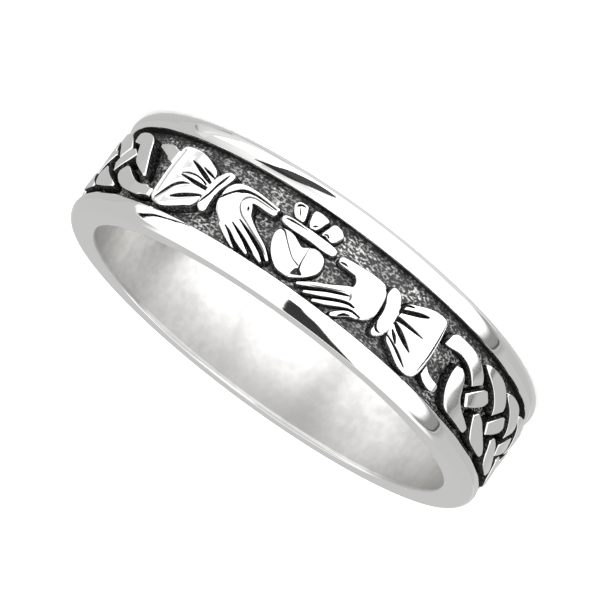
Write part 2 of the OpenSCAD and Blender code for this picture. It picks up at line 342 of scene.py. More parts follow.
# The heart: a puffed silver heart between the hands, its notch towards the crown. It is cast
# standing on the channel's ground, with soft creases from the notch, and buffed bright on top.
# Relief is drawn unrolled: p runs round the ring, q across it towards the crown, h outwards.
relief_h = channel_depth + 0.06
cell = 0.015
swell = 0.035
skirt_h = 0.2
skirt_l = 0.05
wall_slope = 14
dark_under = 0.78
dark_fade = 0.16
cut_shade = 2.6


def wrap(p, q, h):
    """Rolls the drawing round the ring: the angle is -90 degrees less p over the crest's radius, the
    radius is the ground's plus h, and z falls from the band's middle by q."""
    a = -np.pi / 2 - p / crest_r
    r = floor_r + h
    return np.stack(np.broadcast_arrays(r * np.cos(a), r * np.sin(a), band_w / 2 - q), -1) * MM


def curve_through(points, closed=False, per_span=8):
    """Smooth curve through a few points: on each span, between its points b and c with neighbours a
    and d, (2b + (c - a)t + (2a - 5b + 4c - d)t^2 + (3b - a - 3c + d)t^3) / 2 for t from 0 to 1."""
    points = np.asarray(points, float)
    if closed:
        padded = np.concatenate([points[-1:], points, points[:2]])
    else:
        padded = np.concatenate([2 * points[:1] - points[1:2], points, 2 * points[-1:] - points[-2:-1]])
    a, b, c, d = (padded[i:len(padded) - 3 + i, None] for i in range(4))
    t = np.arange(per_span)[None, :, None] / per_span
    cubic = (3 * b - a - 3 * c + d) * t**3
    spans = (2 * b + (c - a) * t + (2 * a - 5 * b + 4 * c - d) * t**2 + cubic) / 2
    line = spans.reshape(-1, points.shape[1])
    return line if closed else np.concatenate([line, points[-1:]])


def to_side(p, q, start, end):
    """Distance from each point to a straight side from start to end, and how far along the side its
    nearest place is: t = (point - start) . (end - start) / length^2, kept between 0 and 1."""
    dp, dq = end[0] - start[0], end[1] - start[1]
    t = np.clip(((p - start[0]) * dp + (q - start[1]) * dq) / max(dp * dp + dq * dq, 1e-12), 0, 1)
    return np.hypot(p - start[0] - t * dp, q - start[1] - t * dq), t


def inside_outline(p, q, outline):
    """Distance in from a closed smooth outline, negative outside it: the least distance to its short
    sides, and inside where a line to the right crosses them an odd number of times."""
    rim = curve_through(outline, closed=True)
    nearest = np.full(p.shape, np.inf)
    within = np.zeros(p.shape, bool)
    for start, end in zip(rim, np.roll(rim, -1, axis=0)):
        nearest = np.minimum(nearest, to_side(p, q, start, end)[0])
        (p0, q0), (p1, q1) = start, end
        if q0 != q1:
            within ^= ((q0 > q) != (q1 > q)) & (p < p0 + (q - q0) * (p1 - p0) / (q1 - q0))
    return np.where(within, nearest, -nearest)


def inside_stroke(p, q, spine):
    """Distance in from the edge of a stroke drawn along a smooth line of points (p, q, half width):
    the greatest, over its short steps, of half width less distance to the line."""
    line = curve_through(spine)
    deepest = np.full(p.shape, -np.inf)
    for start, end in zip(line, line[1:]):
        away, t = to_side(p, q, start, end)
        deepest = np.maximum(deepest, start[2] + (end[2] - start[2]) * t - away)
    return deepest


def rounded(inside, radius):
    """Share of full height at a distance in from an edge: a quarter circle of that radius, which
    stands on a steep wall with a low skirt round its foot, as a cast wall runs out into the ground.
    The wall is a little outside the drawn edge, where the bright top ends."""
    inside = inside + swell
    x = np.clip(inside / radius, 0, 1)
    shoulder = 1 - radius / relief_h * (1 - np.sqrt(1 - (1 - x)**2))
    skirt = np.minimum(skirt_h * (1 + inside / skirt_l), skirt_h)
    return np.where(inside > 0, shoulder, np.maximum(shoulder + inside * wall_slope, skirt))


def groove(p, q, spine):
    """Share of full depth of a groove cut along a stroke: 1 - (1 - x)^2, where x goes from 0 at the
    groove's edge to 1 at six tenths of the way to the middle of its widest place."""
    widest = max(row[2] for row in spine)
    x = np.clip(inside_stroke(p, q, spine) / (0.6 * widest), 0, 1)
    return 1 - (1 - x)**2


def grooves(p, q, spines):
    """The deepest of several grooves."""
    return np.max([groove(p, q, spine) for spine in spines], axis=0)


def joined(first, second, blend):
    """The higher of two heights, with the valley between them filled over the given height."""
    mix = np.clip(0.5 + (first - second) / (2 * blend), 0, 1)
    return second + (first - second) * mix + blend * mix * (1 - mix)


def relief(name, span_p, span_q, shape):
    """A raised piece. shape(p, q) gives its height as a share of full relief and how deep each point
    lies in a groove. Cells are kept out to where the walls have sunk half the root's depth into the
    ground, and a wall round them and a base at the root's full depth close the piece. The mark
    recess goes to 1 where buffing can't reach, which is in the grooves and down the walls."""
    p = np.arange(span_p[0], span_p[1] + cell, cell)[:, None]
    q = np.arange(span_q[0], span_q[1] + cell, cell)[None, :]
    p, q = np.broadcast_arrays(p, q)
    share, cut = shape(p, q)
    root = root_depth / relief_h
    share = np.maximum(share, -0.6 * root)
    above = share > -0.5 * root
    kept = above[:-1, :-1] | above[1:, :-1] | above[1:, 1:] | above[:-1, 1:]
    kept[[0, -1]] = False
    kept[:, [0, -1]] = False
    top = np.arange(p.size).reshape(p.shape)
    base = top + p.size
    cells = quads(*p.shape)[kept.ravel()]
    faces = [cells, cells[:, ::-1] + p.size]
    sides = (
        ((0, 0), (1, 0), (0, -1)), ((1, 0), (1, 1), (1, 0)),
        ((1, 1), (0, 1), (0, 1)), ((0, 1), (0, 0), (-1, 0)),
    )
    for (r0, c0), (r1, c1), (row, column) in sides:
        beyond = np.roll(kept, (-row, -column), (0, 1))
        rows, columns = np.nonzero(kept & ~beyond)
        first, last = (rows + r0, columns + c0), (rows + r1, columns + c1)
        faces.append(np.stack([top[last], top[first], base[first], base[last]], -1))
    faces = np.concatenate(faces)
    points = np.concatenate([
        wrap(p, q, share * relief_h).reshape(-1, 3),
        wrap(p, q, np.full(p.shape, -root_depth)).reshape(-1, 3),
    ])
    # Low recess marks, at the tops' rounded edges and in shallow grooves, are painted a grey shade by the
    # material.
    recess = np.maximum(np.clip((dark_under - share) / dark_fade, 0, 1), np.minimum(cut_shade * cut, 1))
    used, faces = np.unique(faces, return_inverse=True)
    marks = np.concatenate([recess.ravel(), np.ones(p.size)])[used]
    return silver_piece(name, points[used], faces.reshape(-1, 4), [figure_silver], recess=marks)


def recess_group():
    """Black left in the recesses when darkened silver is buffed: it starts where the recess mark is
    over a third, with an edge that a fine noise breaks up, and the same noise rubs it a little. Below
    that, the bright silver is painted towards grey as the mark rises to three tenths: painted shade
    in shallow creases and at the tops' rounded edges."""
    group, given, out = node_group(
        "tarnish_and_shade_in_recesses",
        [("Recess", "Float", 0.0), ("Bright", "Color", SILVER), ("Painted Shade", "Color", (0.5, 0.5, 0.495, 1)),
         ("Tarnish", "Color", (0.02, 0.02, 0.02, 1)),
         ("Rubbed Tarnish", "Color", (0.15, 0.15, 0.15, 1)),
         ("Bright Roughness", "Float", 0.08), ("Tarnish Roughness", "Float", 0.5)],
        [("Color", "Color"), ("Roughness", "Float"), ("Metallic", "Float")],
    )
    grain = noise_node(group, 9.0, 3.0)
    ragged = math_node(group, "MULTIPLY", math_node(group, "SUBTRACT", grain, 0.5), 0.22)
    mask = ramp_node(group, math_node(group, "ADD", given.outputs["Recess"], ragged), 0.3, 0.62)
    rubbed_and_unshaded = ramp_node(group, grain, 0.48, 0.72)
    tarnish = mix_colours(group, rubbed_and_unshaded, given.outputs["Tarnish"], given.outputs["Rubbed Tarnish"])
    # Painted shade: as the recess mark rises from nothing to three tenths, the bright silver is painted down
    # towards grey.
    painted_shade = ramp_node(group, given.outputs["Recess"], 0.0, 0.3)
    bright = mix_colours(group, painted_shade, given.outputs["Bright"], given.outputs["Painted Shade"])
    colour = mix_colours(group, mask, bright, tarnish)
    rough = ramp_node(
        group, mask, 0.0, 1.0, given.outputs["Bright Roughness"], given.outputs["Tarnish Roughness"]
    )
    metallic = math_node(group, "SUBTRACT", 1.0, mask)
    set_inputs(group, out, Color=colour, Roughness=rough, Metallic=metallic)
    return group


TARNISH_AND_SHADE = recess_group()


def marked(tree, name):
    """The number of this name that is stored at each point of a mesh."""
    node = tree.nodes.new("ShaderNodeAttribute")
    node.attribute_name = name
    return node.outputs["Fac"]


def relief_silver(name, waviness, scratches, roughness):
    """Silver that is bright on its tops and black in the recesses that the wheel can't reach, with
    a painted grey shade in shallow creases and at the tops' rounded edges.
    """
    material, tree, shader = metal(name)
    finish = use_group(tree, HAND_FINISH, Waviness=waviness, Scratches=scratches, Roughness=roughness)
    recess, rough = marked(tree, "recess"), finish.outputs["Roughness"]
    tarnish = use_group(tree, TARNISH_AND_SHADE, Recess=recess, Bright_Roughness=rough)
    colour, rough, metallic = tarnish.outputs
    set_inputs(tree, shader, Base_Color=colour, Roughness=rough, Metallic=metallic)
    set_inputs(tree, shader, Specular_IOR_Level=0.0)
    bump(tree, shader, finish.outputs["Height"], 1.0)
    return material


figure_silver = relief_silver("buffed_figure", 14.0, 0.4, 0.09)
HEART = [
    (0.1, -0.13), (0.32, 0), (0.65, 0.12), (1.03, 0.05), (1.23, -0.15), (1.31, -0.45), (1.26, -0.7),
    (1.05, -0.98), (0.8, -1.22), (0.5, -1.42), (0.3, -1.5), (0, -1.51), (-0.28, -1.48), (-0.55, -1.33),
    (-0.88, -1.02), (-1.12, -0.65), (-1.23, -0.3), (-1.18, -0.06), (-1, 0.09), (-0.75, 0.13),
    (-0.45, 0.09), (-0.15, -0.04),
]
HEART_CREASES = [
    [(-1.02, 0.04, 0.07), (-0.88, 0, 0.06), (-0.6, -0.25, 0.045), (-0.28, -0.53, 0.045),
     (0.05, -0.78, 0.04), (0.4, -0.9, 0.05)],
    [(0.38, 0, 0.03), (0.42, -0.4, 0.04), (0.46, -0.75, 0.05), (0.52, -1, 0.07)],
]
HEART_DENT = [(0.34, -1.38), (0.38, -1.08), (0.52, -0.98), (0.66, -1.05), (0.78, -1.16), (0.6, -1.28)]
heart_edge_r = 0.2
heart_dome_r = 0.7
heart_dome = 0.05
crease_depth = 0.05
# The creases' mark paints them a soft grey shade, and the dent's mark paints it near black as a dark
# reflection.
crease_shade = 0.24
dent_depth = 0.2
dent_shade = 0.7
dent_wall = 0.06


def heart_shape(p, q):
    """Puffed heart: a wide rounded edge over a slow dome, less two soft creases, painted grey as
    shade, and a dent beside the point, painted near black as a dark reflection."""
    inside = inside_outline(p, q, HEART)
    dome = 1 - heart_dome + heart_dome * rounded(np.maximum(inside, 0), heart_dome_r)
    cut = grooves(p, q, HEART_CREASES)
    dent = np.clip(inside_outline(p, q, HEART_DENT) / dent_wall, 0, 1)
    share = rounded(inside, heart_edge_r) * dome
    share = share - np.where(inside > 0, crease_depth * cut**2 + dent_depth * dent, 0)
    return share, np.maximum(crease_shade * cut, dent_shade * dent)


relief("heart", (-1.5, 1.6), (-1.8, 0.4), heart_shape)


# The crown: a base bar and three prongs over the heart, cast in silver as separate raised lozenges
# with dark ground between them. Small curls are cut in the prongs, and a fine line along the bar.
CROWN_BAR = [
    (-1.15, 0.46, 0.15), (-0.9, 0.455, 0.18), (0, 0.45, 0.18), (0.9, 0.43, 0.18), (1.24, 0.42, 0.16),
]
BAR_LINE = [(-1.13, 0.5, 0.03), (-0.9, 0.535, 0.05), (-0.55, 0.55, 0.035), (-0.1, 0.56, 0.015)]
LEFT_PRONG = [
    (-1.2, 1.28), (-1.05, 1.42), (-0.75, 1.42), (-0.65, 1.3), (-0.5, 0.83), (-0.65, 0.78), (-0.9, 0.8),
    (-1.1, 0.98), (-1.2, 1.15),
]
MIDDLE_PRONG = [
    (-0.3, 1.45), (0.33, 1.42), (0.3, 1.2), (0.17, 0.85), (0.02, 0.78), (-0.15, 0.78), (-0.27, 1),
]
RIGHT_PRONG = [
    (0.67, 1.4), (1, 1.38), (1.22, 1.22), (1.2, 1.05), (1.05, 0.8), (0.9, 0.75), (0.6, 0.82), (0.47, 0.8),
    (0.55, 1.1),
]
PRONG_CURLS = [
    [(-1.08, 1.18, 0.03), (-1.03, 1.26, 0.06), (-0.92, 1.33, 0.05), (-0.78, 1.33, 0.03)],
    [(-0.93, 1.18, 0.015), (-0.82, 1.02, 0.025), (-0.74, 0.92, 0.02)],
    [(-0.02, 0.84, 0.03), (0.06, 0.9, 0.045), (0.12, 0.95, 0.02)],
    [(0.56, 0.84, 0.03), (0.66, 0.87, 0.04), (0.76, 0.82, 0.035)],
]
bar_edge_r = 0.1
prong_edge_r = 0.12
prong_h = 0.97
curl_depth = 0.16


def crown_shape(p, q):
    """The highest of a rounded bar and three rounded prongs, less the line and the curls."""
    share = rounded(inside_stroke(p, q, CROWN_BAR), bar_edge_r)
    for prong in (LEFT_PRONG, MIDDLE_PRONG, RIGHT_PRONG):
        share = np.maximum(share, prong_h * rounded(inside_outline(p, q, prong), prong_edge_r))
    cut = grooves(p, q, [BAR_LINE, *PRONG_CURLS])
    return share - curl_depth * cut**2, cut


relief("crown", (-1.5, 1.6), (0.1, 1.7), crown_shape)


# The hands: two silver hands that hold the heart, each with a palm, a thumb along the crown's side
# and fingers that run under the heart's point. They are cast in one with the ground, and the gaps
# between fingers are cut and left black. The two differ a little, as carved ones do.
LEFT_PALM = [
    (-4.2, -0.35), (-4, -0.72), (-3.6, -1.05), (-3.2, -1.3), (-2.85, -1.2), (-2.5, -0.85), (-2.55, -0.3),
    (-2.68, -0.02), (-2.66, 0.12), (-2.85, 0.3), (-3.1, 0.45), (-3.4, 0.6), (-3.8, 0.6), (-4.08, 0.25),
    (-4.2, -0.05),
]
LEFT_THUMB = [
    (-4.06, 0.05, 0.13), (-3.97, 0.3, 0.18), (-3.75, 0.55, 0.18), (-3.4, 0.67, 0.15), (-2.8, 0.71, 0.1),
    (-2.2, 0.67, 0.07), (-1.66, 0.62, 0.05),
]
LEFT_THUMB_INNER = [
    (-3.4, 0.36, 0.2), (-3, 0.46, 0.15), (-2.6, 0.48, 0.14), (-2.1, 0.44, 0.14), (-1.74, 0.42, 0.12),
]
LEFT_FINGERS = [
    [(-2.85, 0, 0.2), (-2.6, -0.4, 0.2), (-1.95, -0.78, 0.15), (-1.3, -1.1, 0.12), (-0.78, -1.43, 0.035)],
    [(-2.95, -0.5, 0.2), (-2.65, -0.82, 0.16), (-2, -1.15, 0.12), (-1.35, -1.45, 0.09), (-1, -1.63, 0.03)],
    [(-3.1, -0.9, 0.18), (-2.75, -1.12, 0.14), (-2.25, -1.4, 0.11), (-1.7, -1.66, 0.03)],
    [(-3.35, -1.1, 0.14), (-2.95, -1.36, 0.12), (-2.6, -1.56, 0.09), (-2.36, -1.7, 0.05)],
]
LEFT_GAPS = [
    [(-2.78, -0.6, 0.03), (-2.3, -0.79, 0.065), (-1.8, -1, 0.08), (-1.2, -1.27, 0.07),
     (-0.9, -1.48, 0.05)],
    [(-2.97, -0.86, 0.03), (-2.5, -1.07, 0.07), (-2, -1.3, 0.085), (-1.5, -1.56, 0.08)],
    [(-3.17, -1.12, 0.03), (-2.85, -1.28, 0.065), (-2.5, -1.52, 0.085), (-2.3, -1.68, 0.07)],
]
LEFT_LINES = [
    [(-4.27, -0.25, 0.05), (-4.1, -0.1, 0.06), (-3.9, 0.15, 0.055), (-3.68, 0.38, 0.06), (-3.45, 0.5, 0.1),
     (-3.2, 0.6, 0.075), (-2.8, 0.645, 0.055), (-2.3, 0.615, 0.045), (-1.72, 0.56, 0.03)],
    [(-2.82, 0.06, 0.02), (-2.76, -0.02, 0.05), (-2.72, -0.1, 0.02)],
]
LEFT_SHADES = [
    [(-3.22, 0.12, 0.04), (-3.1, 0.36, 0.06), (-2.8, 0.5, 0.05), (-2.4, 0.5, 0.045), (-1.8, 0.47, 0.03)],
    [(-3.2, 0.05, 0.04), (-3.1, -0.15, 0.05), (-2.85, -0.38, 0.05), (-2.5, -0.55, 0.045),
     (-1.9, -0.83, 0.05), (-1.3, -1.1, 0.05), (-0.95, -1.32, 0.03)],
]
RIGHT_PALM = [
    (4.25, -0.5), (4.22, 0), (4.1, 0.4), (3.88, 0.58), (3.2, 0.7), (2.8, 0.6), (2.5, 0.27), (2.7, 0.12),
    (2.8, -0.06), (2.77, -0.24), (2.62, -0.36), (2.65, -0.85), (2.95, -1.15), (3.4, -1.2), (3.9, -1.1),
    (4.17, -0.85),
]
RIGHT_THUMB = [
    (3.7, 0.44, 0.25), (3.2, 0.45, 0.25), (2.6, 0.43, 0.21), (2.1, 0.4, 0.18), (1.82, 0.38, 0.15),
]
RIGHT_FINGERS = [
    [(3, -0.4, 0.2), (2.65, -0.52, 0.17), (2, -0.88, 0.12), (1.4, -1.17, 0.09), (0.82, -1.5, 0.03)],
    [(3, -0.75, 0.16), (2.75, -0.83, 0.12), (2.1, -1.17, 0.09), (1.25, -1.62, 0.025)],
    [(3.1, -1, 0.13), (2.9, -1.08, 0.11), (2.4, -1.38, 0.08), (1.75, -1.7, 0.025)],
    [(3.6, -1.1, 0.13), (3.3, -1.22, 0.11), (2.95, -1.5, 0.1), (2.72, -1.68, 0.06)],
]
RIGHT_GAPS = [
    [(2.85, -0.66, 0.04), (2.5, -0.8, 0.07), (1.8, -1.13, 0.07), (1.1, -1.5, 0.06)],
    [(3.3, -0.92, 0.05), (3.05, -0.93, 0.07), (2.75, -1.03, 0.075), (2.3, -1.25, 0.075),
     (1.6, -1.63, 0.065)],
    [(3.75, -1.1, 0.04), (3.3, -1.1, 0.06), (2.95, -1.25, 0.07), (2.6, -1.46, 0.08), (2.2, -1.66, 0.06)],
    [(3.35, -1.3, 0.03), (3.15, -1.4, 0.06), (2.98, -1.58, 0.04)],
]
RIGHT_LINES = [[(2.1, 0.3, 0.02), (1.95, 0.31, 0.05), (1.78, 0.28, 0.03)]]
RIGHT_SHADES = [
    [(2.6, -0.62, 0.03), (2, -0.93, 0.05), (1.3, -1.27, 0.03)],
    [(2.85, -0.5, 0.03), (2.95, -0.66, 0.07), (3, -0.8, 0.04)],
]
palm_edge_r = 0.2
palm_h = 0.97
thumb_edge_r = 0.12
thumb_blend = 0.06
finger_edge_r = 0.1
finger_h = 0.95
finger_blend = 0.04
gap_depth = 0.6
line_depth = 0.28
shade_depth = 0.05
shade_share = 0.2


def hand_shape(palm, thumbs, fingers, gaps, lines, shades):
    """A hand's shape function: a rounded palm joined smoothly to the thumb's and the fingers' rounded
    strokes, less the gaps, which are deep, the lines, which are shallow, and the shades, which are
    slight grooves painted a soft grey as shade, with a little black at most."""
    def shape(p, q):
        share = palm_h * rounded(inside_outline(p, q, palm), palm_edge_r)
        for thumb in thumbs:
            share = joined(share, rounded(inside_stroke(p, q, thumb), thumb_edge_r), thumb_blend)
        for finger in fingers:
            raised = finger_h * rounded(inside_stroke(p, q, finger), finger_edge_r)
            share = joined(share, raised, finger_blend)
        deep, fine, slight = (grooves(p, q, strokes) for strokes in (gaps, lines, shades))
        cuts = gap_depth * deep**2 + line_depth * fine**2 + shade_depth * slight**2
        # The shades get a low mark, which the material paints as a soft grey shade.
        dark = np.maximum(np.maximum(deep, fine), shade_share * slight)
        return share - np.where(share > 0, cuts, 0), dark
    return shape


hand_span = (-half_channel + 0.02, 1.1)
relief("left_hand", (-4.5, -0.5), hand_span, hand_shape(
    LEFT_PALM, [LEFT_THUMB, LEFT_THUMB_INNER], LEFT_FINGERS, LEFT_GAPS, LEFT_LINES, LEFT_SHADES
))
relief("right_hand", (0.5, 4.5), hand_span, hand_shape(
    RIGHT_PALM, [RIGHT_THUMB], RIGHT_FINGERS, RIGHT_GAPS, RIGHT_LINES, RIGHT_SHADES
))


# The wristbands: a curved, half-round silver band over each wrist, cast in one with hand and cuff.
# The left one has a groove cut along it, and the right one a nick across its end.
LEFT_STRAP = [
    (-4.32, 0.85, 0.12), (-4.48, 0.72, 0.24), (-4.66, 0.35, 0.28), (-4.74, 0, 0.26), (-4.74, -0.45, 0.24),
    (-4.68, -0.82, 0.22), (-4.58, -0.92, 0.14),
]
STRAP_GROOVE = [
    (-4.4, 0.82, 0.03), (-4.5, 0.5, 0.075), (-4.62, 0.1, 0.06), (-4.68, -0.25, 0.06), (-4.78, -0.55, 0.06),
    (-4.86, -0.8, 0.03),
]
RIGHT_STRAP = [
    (4.32, 0.72, 0.15), (4.45, 0.55, 0.28), (4.65, 0.2, 0.31), (4.76, -0.2, 0.31), (4.77, -0.6, 0.3),
    (4.74, -0.95, 0.25), (4.64, -1.12, 0.17),
]
STRAP_NICK = [(4.46, -0.75, 0.02), (4.52, -0.95, 0.05), (4.62, -1.05, 0.06), (4.8, -1.06, 0.03)]
strap_edge_r = 0.15
strap_cut_depth = 0.3


def strap_shape(strap, line):
    """A wristband's shape function: a stroke rounded right across, less the line cut in it."""
    def shape(p, q):
        cut = groove(p, q, line)
        share = rounded(inside_stroke(p, q, strap), strap_edge_r)
        return share - np.where(share > 0, strap_cut_depth * cut**2, 0), cut
    return shape


relief("left_wristband", (-5.2, -4.0), (-1.3, 1.2), strap_shape(LEFT_STRAP, STRAP_GROOVE))
relief("right_wristband", (4.0, 5.3), (-1.5, 1.1), strap_shape(RIGHT_STRAP, STRAP_NICK))


# The cuffs: a sleeve gathered at each wrist that fans out to a straight hem. They are cast in silver
# as flat plates, with pleats cut in from the gathers, a soft dip along the left hem and a fine line
# along the right one.
LEFT_CUFF = [
    (-5.12, 0.72), (-5.6, 0.98), (-6.1, 1.17), (-6.6, 1.26), (-7.1, 1.26), (-7.42, 1.18), (-7.5, 0.9),
    (-7.5, 0.2), (-7.48, -0.6), (-7.4, -1.2), (-7.2, -1.52), (-6.9, -1.6), (-6.5, -1.58), (-6, -1.42),
    (-5.5, -1.2), (-5.15, -1.02), (-5.05, -0.6), (-5.05, 0.3),
]
LEFT_PLEATS = [
    [(-5.05, 0.18, 0.08), (-5.5, 0.36, 0.11), (-6, 0.56, 0.09), (-6.5, 0.73, 0.04)],
    [(-5.05, 0.45, 0.05), (-5.4, 0.55, 0.06), (-5.78, 0.66, 0.03)],
    [(-5.05, -0.14, 0.1), (-5.6, -0.11, 0.1), (-6.1, -0.06, 0.075), (-6.6, -0.02, 0.04)],
    [(-5.15, 0.02, 0.04), (-5.45, 0.13, 0.04), (-5.85, 0.2, 0.04), (-6.3, 0.17, 0.045), (-6.65, 0.06, 0.02)],
    [(-5.05, -0.52, 0.06), (-5.5, -0.7, 0.1), (-6, -0.93, 0.11), (-6.36, -1.1, 0.05)],
    [(-5.92, -0.26, 0.03), (-6.3, -0.38, 0.08), (-6.62, -0.62, 0.09), (-6.85, -0.98, 0.085),
     (-7.1, -1.42, 0.04)],
]
LEFT_HEM = [(-7.3, 1, 0.1), (-7.33, 0, 0.12), (-7.22, -1.1, 0.1)]
RIGHT_CUFF = [
    (5.18, 0.68), (5.5, 0.88), (5.9, 1.08), (6.3, 1.22), (6.7, 1.27), (7.02, 1.22), (7.15, 0.9), (7.28, 0.3),
    (7.35, -0.4), (7.32, -1.1), (7.2, -1.48), (6.95, -1.6), (6.5, -1.6), (6.1, -1.48), (5.6, -1.24),
    (5.25, -1.05), (5.12, -0.6), (5.12, 0.2),
]
RIGHT_PLEATS = [
    [(5.1, 0.3, 0.1), (5.5, 0.5, 0.11), (5.9, 0.69, 0.1), (6.2, 0.83, 0.05)],
    [(5.1, -0.08, 0.13), (5.5, -0.05, 0.1), (6, -0.03, 0.075), (6.52, -0.02, 0.03)],
    [(5.1, -0.28, 0.08), (5.5, -0.46, 0.13), (5.95, -0.66, 0.11), (6.38, -0.84, 0.04)],
    [(5.2, -0.6, 0.05), (5.42, -0.75, 0.085), (5.64, -0.95, 0.04)],
    [(5.15, -0.9, 0.04), (5.6, -1.04, 0.055), (6.1, -1.25, 0.07), (6.58, -1.48, 0.03)],
    [(5.12, 0.6, 0.04), (5.25, 0.68, 0.055), (5.42, 0.74, 0.03)],
]
RIGHT_HEM = [(7.07, 1.1, 0.03), (7.19, 0.3, 0.05), (7.24, -0.4, 0.05), (7.2, -1.2, 0.03)]
left_hem_depth = 0.06
right_hem_depth = 0.22
hem_shade = 1.5
cuff_edge_r = 0.1
pleat_depth = 0.45
pleat_dip = 0.035
pleat_reach = 0.22


def cuff_shape(outline, pleats, hem, hem_depth):
    """A cuff's shape function: a plate with rounded edges that swells between its pleats, less the
    pleats, which are deep at the gathers, and the hem's fine line. The hems are painted grey as
    shade: faintly along the left hem's soft dip, and darker, with a little black, in the right
    hem's line."""
    def shape(p, q):
        inside = inside_outline(p, q, outline)
        share = rounded(inside, cuff_edge_r)
        for pleat in pleats:
            near = np.clip(1 + inside_stroke(p, q, pleat) / pleat_reach, 0, 1)
            share = share - pleat_dip * near**2
        cut = grooves(p, q, pleats)
        line = groove(p, q, hem)
        share = share - np.where(inside > 0, pleat_depth * cut**2 + hem_depth * line**2, 0)
        # The hem's mark paints a grey shade: light on the left cuff, darker on the right one.
        return share, np.maximum(cut, hem_shade * hem_depth * line)
    return shape


cuff_span = (-1.8, 1.5)
left_cuff_shape = cuff_shape(LEFT_CUFF, LEFT_PLEATS, LEFT_HEM, left_hem_depth)
right_cuff_shape = cuff_shape(RIGHT_CUFF, RIGHT_PLEATS, RIGHT_HEM, right_hem_depth)
relief("left_cuff", (-7.7, -4.9), cuff_span, left_cuff_shape)
relief("right_cuff", (5.0, 7.6), cuff_span, right_cuff_shape)


# The plait: a flat plait of four silver strands that fills the channel round the back. They are cast
# flat-topped, with black gaps where they pass under each other, and run from cuff to cuff.

# A row of a table is a strand's left edge (p, q), its right edge (p, q) and its height, where p is a
# share of the pitch, q a share of half the channel, and the height 1 at full relief.
UPPER_LOBE = [
    [0.1, 0.7, 0.13, 0.64, 0.6], [0.22, 0.755, 0.25, 0.57, 0.85], [0.47, 0.775, 0.41, 0.5, 1],
    [0.75, 0.74, 0.61, 0.4, 1], [1, 0.61, 0.8, 0.265, 1], [1.2, 0.45, 0.94, 0.13, 0.95],
    [1.3, 0.31, 1.05, 0, 0.75],
]
BAR = [
    [0.07, -0.18, 0.24, -0.42, 0.78], [0.21, 0.02, 0.46, -0.23, 1], [0.38, 0.22, 0.62, -0.06, 1],
    [0.51, 0.28, 0.71, 0.13, 0.78],
]
LOWER_LOBE = [
    [0.68, -0.22, 0.57, -0.36, 0.75], [0.85, -0.29, 0.62, -0.5, 0.95], [1.03, -0.41, 0.75, -0.69, 1],
    [1.23, -0.53, 0.92, -0.84, 1], [1.43, -0.64, 1.19, -0.88, 1], [1.58, -0.72, 1.47, -0.87, 0.85],
    [1.65, -0.78, 1.63, -0.83, 0.6],
]
FIRST_UPPER = [
    [0.08, 0.58, 0.05, 0.29, 0.85], [0.18, 0.67, 0.18, 0.3, 0.9], [0.48, 0.695, 0.44, 0.37, 0.94],
    [0.74, 0.67, 0.66, 0.34, 0.97], [0.98, 0.56, 0.82, 0.26, 1], [1.19, 0.4, 0.98, 0.13, 0.98],
    [1.28, 0.27, 1.08, 0.04, 0.85],
]
FIRST_LOWER = [
    [0.66, 0.18, 0.53, 0.14, 0.75], [0.8, 0.07, 0.51, -0.08, 0.95], [0.9, -0.14, 0.56, -0.39, 1],
    [1.02, -0.38, 0.7, -0.67, 1], [1.19, -0.53, 0.88, -0.83, 1], [1.43, -0.63, 1.27, -0.86, 0.95],
    [1.61, -0.7, 1.57, -0.87, 0.8], [1.65, -0.77, 1.64, -0.82, 0.6],
]
FIRST_STUB = [
    [0.02, -0.4, 0.02, -0.64, 0.6], [0.13, -0.5, 0.12, -0.73, 0.8], [0.28, -0.545, 0.26, -0.78, 0.85],
    [0.4, -0.55, 0.4, -0.78, 0.8], [0.47, -0.6, 0.47, -0.73, 0.6],
]
LAST_UPPER = [
    [0.15, 0.68, 0.155, 0.58, 0.6], [0.275, 0.74, 0.275, 0.47, 0.85], [0.52, 0.755, 0.435, 0.43, 1],
    [0.76, 0.71, 0.6, 0.38, 1], [0.96, 0.56, 0.74, 0.14, 1], [1.12, 0.25, 0.88, -0.07, 1],
    [1.26, -0.03, 1.06, -0.21, 0.9], [1.39, -0.34, 1.35, -0.38, 0.6],
]
LAST_LOWER = [
    [0.66, -0.23, 0.52, -0.38, 0.75], [0.8, -0.25, 0.6, -0.54, 0.87], [1.04, -0.42, 0.8, -0.71, 0.88],
    [1.28, -0.56, 1.08, -0.84, 0.88], [1.48, -0.6, 1.36, -0.88, 0.89], [1.64, -0.57, 1.54, -0.89, 0.92],
    [1.74, -0.61, 1.68, -0.85, 0.95], [1.86, -0.63, 1.85, -0.82, 1],
]
LAST_STUB = [
    [1.23, 0.54, 1.25, 0.47, 0.75], [1.46, 0.6, 1.43, 0.38, 0.82], [1.62, 0.6, 1.6, 0.29, 0.88],
    [1.75, 0.54, 1.71, 0.2, 0.94], [1.86, 0.5, 1.86, 0.14, 1],
]
strand_lift = 0.4
strand_edge_r = 0.045
narrow_edge = 0.45
buff_depth = 0.03
rim_steps = 6
flat_steps = 7

# Between the gaps at the cuffs are a cell that leads in, the repeats and part of one that leads out.
cuff_end = 7.35
plait_repeat = 2.5
lead_out = 0.8
first_gap = 0.1
last_gap = 0.3
plait_l = 2 * np.pi * crest_r - 2 * cuff_end
repeats = round(plait_l / plait_repeat - 1 - lead_out)
pitch = (plait_l - first_gap - last_gap) / (repeats + 1 + lead_out)


